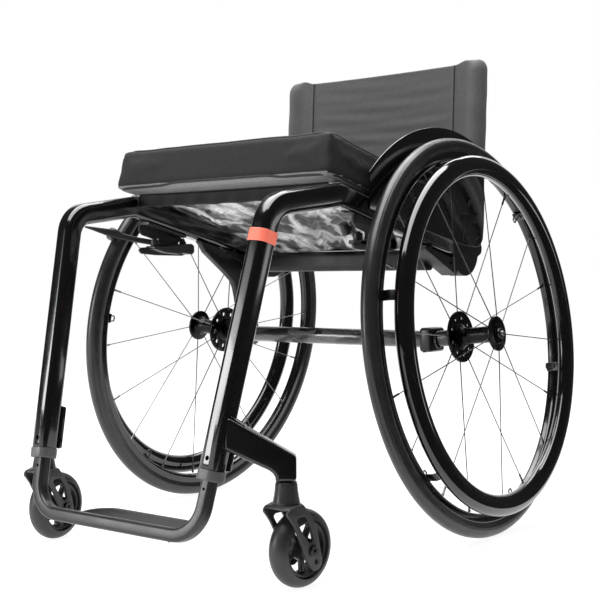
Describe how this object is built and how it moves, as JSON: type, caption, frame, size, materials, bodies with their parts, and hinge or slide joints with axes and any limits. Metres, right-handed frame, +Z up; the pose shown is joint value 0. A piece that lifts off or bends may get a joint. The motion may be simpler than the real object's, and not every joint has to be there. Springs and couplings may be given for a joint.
{
  "type": "active wheelchair",
  "caption": "Rigid-frame active wheelchair with cambered wheels, folding backrest, sliding footrest and under-seat brakes.",
  "frame": {"origin": "middle of the footprint box, on the floor", "axes": "-Y is forward, +X is the user's left, +Z is up"},
  "size_m": [0.6748, 0.8239, 0.7597],
  "materials": {
    "accent_band": "satin",
    "axle_tube": "woven carbon under lacquer",
    "seat_crossbar": "satin",
    "seat_sling": "woven",
    "seat_cushion": "woven",
    "left_side_frame": "gloss",
    "right_side_frame": "gloss",
    "left_leg_collar": "satin",
    "right_leg_collar": "satin",
    "left_caster_arm": "gloss",
    "right_caster_arm": "gloss",
    "left_caster_housing": "satin",
    "right_caster_housing": "satin",
    "left_axle_support": "satin",
    "right_axle_support": "satin",
    "left_camber_plug": "satin",
    "right_camber_plug": "satin",
    "left_quick_release_axle": "polished",
    "right_quick_release_axle": "polished",
    "left_side_guard": "gloss",
    "right_side_guard": "gloss",
    "left_hinge_bracket": "satin",
    "right_hinge_bracket": "satin",
    "left_brake_mount": "satin",
    "right_brake_mount": "satin",
    "footrest_tube": "satin",
    "footrest_band": "satin",
    "backrest_brace": "satin",
    "backrest_sling": "woven",
    "left_back_cane": "satin",
    "right_back_cane": "satin",
    "left_tyre": "matte",
    "left_rim": "gloss",
    "left_hub_and_spokes": "black anodised",
    "left_handrim": "gloss",
    "left_tyre_valve": "satin",
    "left_release_button": "polished",
    "left_caster_fork": "satin",
    "left_caster_axle": "blackened",
    "left_caster_wheel": "satin",
    "left_caster_tyre": "matte",
    "left_brake_lever": "satin",
    "left_brake_pad": "matte",
    "right_tyre": "matte",
    "right_rim": "gloss",
    "right_hub_and_spokes": "black anodised",
    "right_handrim": "gloss",
    "right_tyre_valve": "satin",
    "right_release_button": "polished",
    "right_caster_fork": "satin",
    "right_caster_axle": "blackened",
    "right_caster_wheel": "satin",
    "right_caster_tyre": "matte",
    "right_brake_lever": "satin",
    "right_brake_pad": "matte"
  },
  "bodies": {
    "chair": {"accent_band": "accent_band", "axle_tube": "axle_tube", "seat_crossbar": "seat_crossbar", "seat_sling": "seat_sling", "seat_cushion": "seat_cushion", "left_side_frame": "left_side_frame", "right_side_frame": "right_side_frame", "left_leg_collar": "left_leg_collar", "right_leg_collar": "right_leg_collar", "left_caster_arm": "left_caster_arm", "right_caster_arm": "right_caster_arm", "left_caster_housing": "left_caster_housing", "right_caster_housing": "right_caster_housing", "left_axle_support": "left_axle_support", "right_axle_support": "right_axle_support", "left_camber_plug": "left_camber_plug", "right_camber_plug": "right_camber_plug", "left_quick_release_axle": "left_quick_release_axle", "right_quick_release_axle": "right_quick_release_axle", "left_side_guard": "left_side_guard", "right_side_guard": "right_side_guard", "left_hinge_bracket": "left_hinge_bracket", "right_hinge_bracket": "right_hinge_bracket", "left_brake_mount": "left_brake_mount", "right_brake_mount": "right_brake_mount"},
    "footrest": {"footrest_tube": "footrest_tube", "footrest_band": "footrest_band"},
    "backrest": {"backrest_brace": "backrest_brace", "backrest_sling": "backrest_sling", "left_back_cane": "left_back_cane", "right_back_cane": "right_back_cane"},
    "left_rear_wheel": {"left_tyre": "left_tyre", "left_rim": "left_rim", "left_hub_and_spokes": "left_hub_and_spokes", "left_handrim": "left_handrim", "left_tyre_valve": "left_tyre_valve"},
    "left_release": {"left_release_button": "left_release_button"},
    "left_caster_swivel": {"left_caster_fork": "left_caster_fork", "left_caster_axle": "left_caster_axle"},
    "left_caster_roller": {"left_caster_wheel": "left_caster_wheel", "left_caster_tyre": "left_caster_tyre"},
    "left_brake": {"left_brake_lever": "left_brake_lever", "left_brake_pad": "left_brake_pad"},
    "right_rear_wheel": {"right_tyre": "right_tyre", "right_rim": "right_rim", "right_hub_and_spokes": "right_hub_and_spokes", "right_handrim": "right_handrim", "right_tyre_valve": "right_tyre_valve"},
    "right_release": {"right_release_button": "right_release_button"},
    "right_caster_swivel": {"right_caster_fork": "right_caster_fork", "right_caster_axle": "right_caster_axle"},
    "right_caster_roller": {"right_caster_wheel": "right_caster_wheel", "right_caster_tyre": "right_caster_tyre"},
    "right_brake": {"right_brake_lever": "right_brake_lever", "right_brake_pad": "right_brake_pad"}
  },
  "joints": [
    {"name": "footrest_height", "type": "slide", "parent": "chair", "child": "footrest", "axis": [0, -0.2334, -0.9724], "range_m": [-0.01, 0.02]},
    {"name": "backrest_fold", "type": "hinge", "parent": "chair", "child": "backrest", "pos_m": [0, 0.2166, 0.44], "axis": [1, 0, 0], "range_deg": [0, 44]},
    {"name": "left_wheel_spin", "type": "hinge", "parent": "chair", "child": "left_rear_wheel", "pos_m": [0.2664, 0.1066, 0.3034], "axis": [0.9945, 0, 0.1045], "continuous": true},
    {"name": "left_release_press", "type": "slide", "parent": "chair", "child": "left_release", "axis": [-0.9945, 0, -0.1045], "range_m": [0, 0.0045], "stiffness_N_per_m": 300, "springref_m": -0.003},
    {"name": "left_caster_swivel_turn", "type": "hinge", "parent": "chair", "child": "left_caster_swivel", "pos_m": [0.229, -0.3234, 0.12], "axis": [0, 0, 1], "continuous": true},
    {"name": "left_caster_roll", "type": "hinge", "parent": "left_caster_swivel", "child": "left_caster_roller", "pos_m": [0.2317, -0.29855, 0.05], "axis": [0.9942, -0.108, 0], "continuous": true},
    {"name": "left_brake_swing", "type": "hinge", "parent": "chair", "child": "left_brake", "pos_m": [0.1985, -0.1159, 0.451], "axis": [0, 0, 1], "range_deg": [0, 180]},
    {"name": "right_wheel_spin", "type": "hinge", "parent": "chair", "child": "right_rear_wheel", "pos_m": [-0.2664, 0.1066, 0.3034], "axis": [-0.9945, 0, 0.1045], "continuous": true},
    {"name": "right_release_press", "type": "slide", "parent": "chair", "child": "right_release", "axis": [0.9945, 0, -0.1045], "range_m": [0, 0.0045], "stiffness_N_per_m": 300, "springref_m": -0.003},
    {"name": "right_caster_swivel_turn", "type": "hinge", "parent": "chair", "child": "right_caster_swivel", "pos_m": [-0.229, -0.3234, 0.12], "axis": [0, 0, 1], "continuous": true},
    {"name": "right_caster_roll", "type": "hinge", "parent": "right_caster_swivel", "child": "right_caster_roller", "pos_m": [-0.2317, -0.29855, 0.05], "axis": [0.9942, 0.108, 0], "continuous": true},
    {"name": "right_brake_swing", "type": "hinge", "parent": "chair", "child": "right_brake", "pos_m": [-0.1985, -0.1159, 0.451], "axis": [0, 0, 1], "range_deg": [0, 180]}
  ]
}
